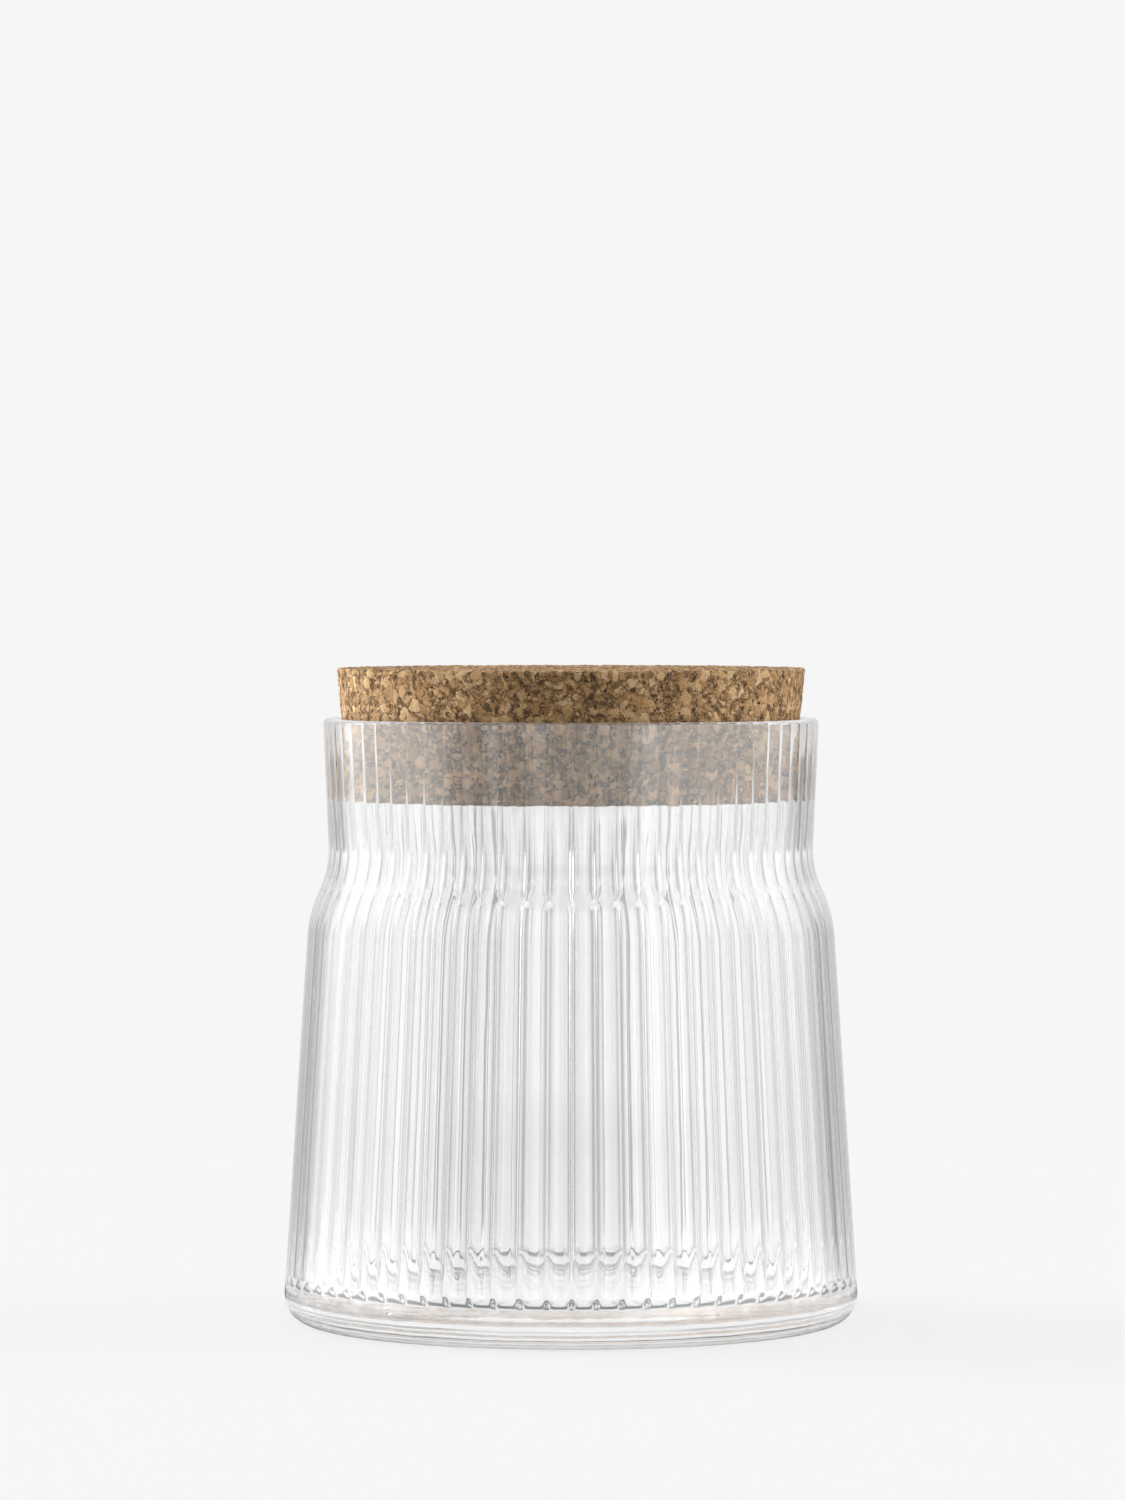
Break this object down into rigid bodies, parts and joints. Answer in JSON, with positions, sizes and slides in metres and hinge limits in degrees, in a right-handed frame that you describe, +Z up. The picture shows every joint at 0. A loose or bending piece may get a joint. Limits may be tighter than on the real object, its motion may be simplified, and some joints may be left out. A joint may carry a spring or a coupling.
{
  "type": "storage jar",
  "caption": "Clear glass storage jar with a ribbed inner wall, stepped shoulder and thick base, closed by a tapered cork lid that lifts out of the neck.",
  "frame": {"origin": "centre of the jar's foot, on the surface that it stands on", "axes": "+Z up along the jar's axis; the jar is round, so X and Y are free, and the picture looks along +Y"},
  "size_m": [0.13, 0.13, 0.1485],
  "materials": {
    "clear_glass": "clear colourless blown glass, fire-polished",
    "agglomerated_cork": "pressed cork granules, cut and sanded, uncoated"
  },
  "bodies": {
    "jar": {"glass_jar": "clear_glass"},
    "lid": {"cork_lid": "agglomerated_cork"}
  },
  "joints": [
    {"name": "lid_lift", "type": "slide", "parent": "jar", "child": "lid", "axis": [0, 0, 1], "range_m": [0, 0.06]}
  ]
}
